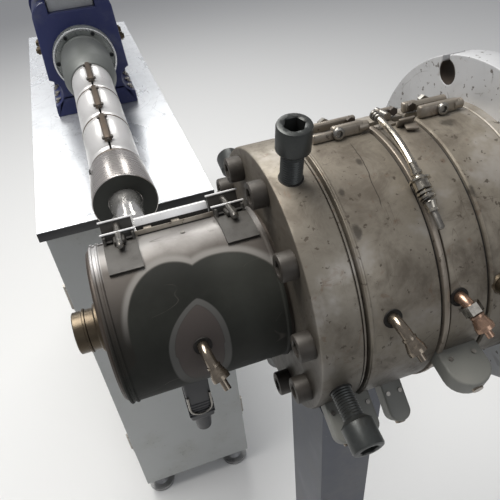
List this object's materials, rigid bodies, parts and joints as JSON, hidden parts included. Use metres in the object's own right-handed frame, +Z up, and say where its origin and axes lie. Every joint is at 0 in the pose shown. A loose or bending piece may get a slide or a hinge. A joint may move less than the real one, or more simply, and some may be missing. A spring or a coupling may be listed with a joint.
{
  "type": "co-extrusion die head with side extruder",
  "caption": "Cylindrical pipe die head with clamped heater bands, fed from the side by a small extruder that stands on a cabinet with hopper, gearbox and motor.",
  "frame": {"origin": "centre of the rear flange's mating face, on the die axis, 1.05 m above the floor", "axes": "+X along the die axis, out of the melt inlet and away from the outlet; +Y towards the side extruder's drive; +Z up"},
  "size_m": [0.535, 1.6438, 1.56],
  "materials": {
    "machined_steel": "turned, lightly tarnished",
    "oiled_steel": "turned, brown oil film and rust specks",
    "band_steel": "heat-browned sheet with scratches",
    "clamp_steel": "dull, rubbed edges",
    "black_bolts": "black oxide with an oil film",
    "small_band_steel": "satin sheet with dark heat stains",
    "brass": "tarnished",
    "probe_steel": "worn bright",
    "terminal_grey": "flat grey, dusty",
    "bright_steel": "bright, fine turning marks",
    "dark_steel": "dark, greasy",
    "grey_green_paint": "satin, grimy",
    "blue_paint": "gloss, dusty",
    "hopper_steel": "folded sheet",
    "motor_paint": "satin",
    "cabinet_paint": "satin, dusty",
    "plate_steel": "scratched bright sheet",
    "foot_steel": "zinc, dull"
  },
  "bodies": {
    "root": {"rear_flange": "machined_steel", "die_body": "oiled_steel", "rear_heater_band": "band_steel", "middle_heater_band": "band_steel", "band_strap": "band_steel", "wide_heater_band": "band_steel", "rear_band_clamp": "clamp_steel", "middle_band_clamp": "clamp_steel", "wide_band_clamp": "clamp_steel", "centring_bolt_top": "black_bolts", "centring_bolt_front": "black_bolts", "centring_bolt_bottom": "black_bolts", "centring_bolt_back": "black_bolts", "face_screws": "black_bolts", "small_die": "small_band_steel", "small_heater_band": "small_band_steel", "small_clamp_left": "clamp_steel", "small_clamp_right": "clamp_steel", "outlet_tube": "brass", "wide_thermocouple": "probe_steel", "middle_thermocouple": "probe_steel", "small_thermocouple": "probe_steel", "rear_fitting": "brass", "loose_thermocouple": "probe_steel", "terminal_covers": "terminal_grey", "heater_plug": "terminal_grey", "feed_nozzle": "bright_steel", "barrel_cap": "band_steel", "barrel": "bright_steel", "barrel_band_front": "bright_steel", "barrel_band_middle": "bright_steel", "barrel_band_rear": "bright_steel", "barrel_band_clamps": "clamp_steel", "barrel_collar": "dark_steel", "barrel_flange": "grey_green_paint", "barrel_support": "grey_green_paint", "feed_housing": "blue_paint", "hopper": "hopper_steel", "gearbox": "blue_paint", "motor": "motor_paint", "cabinet": "cabinet_paint", "cabinet_top": "plate_steel", "cabinet_doors": "cabinet_paint", "cabinet_feet": "foot_steel", "die_stand": "blue_paint"}
  },
  "joints": []
}
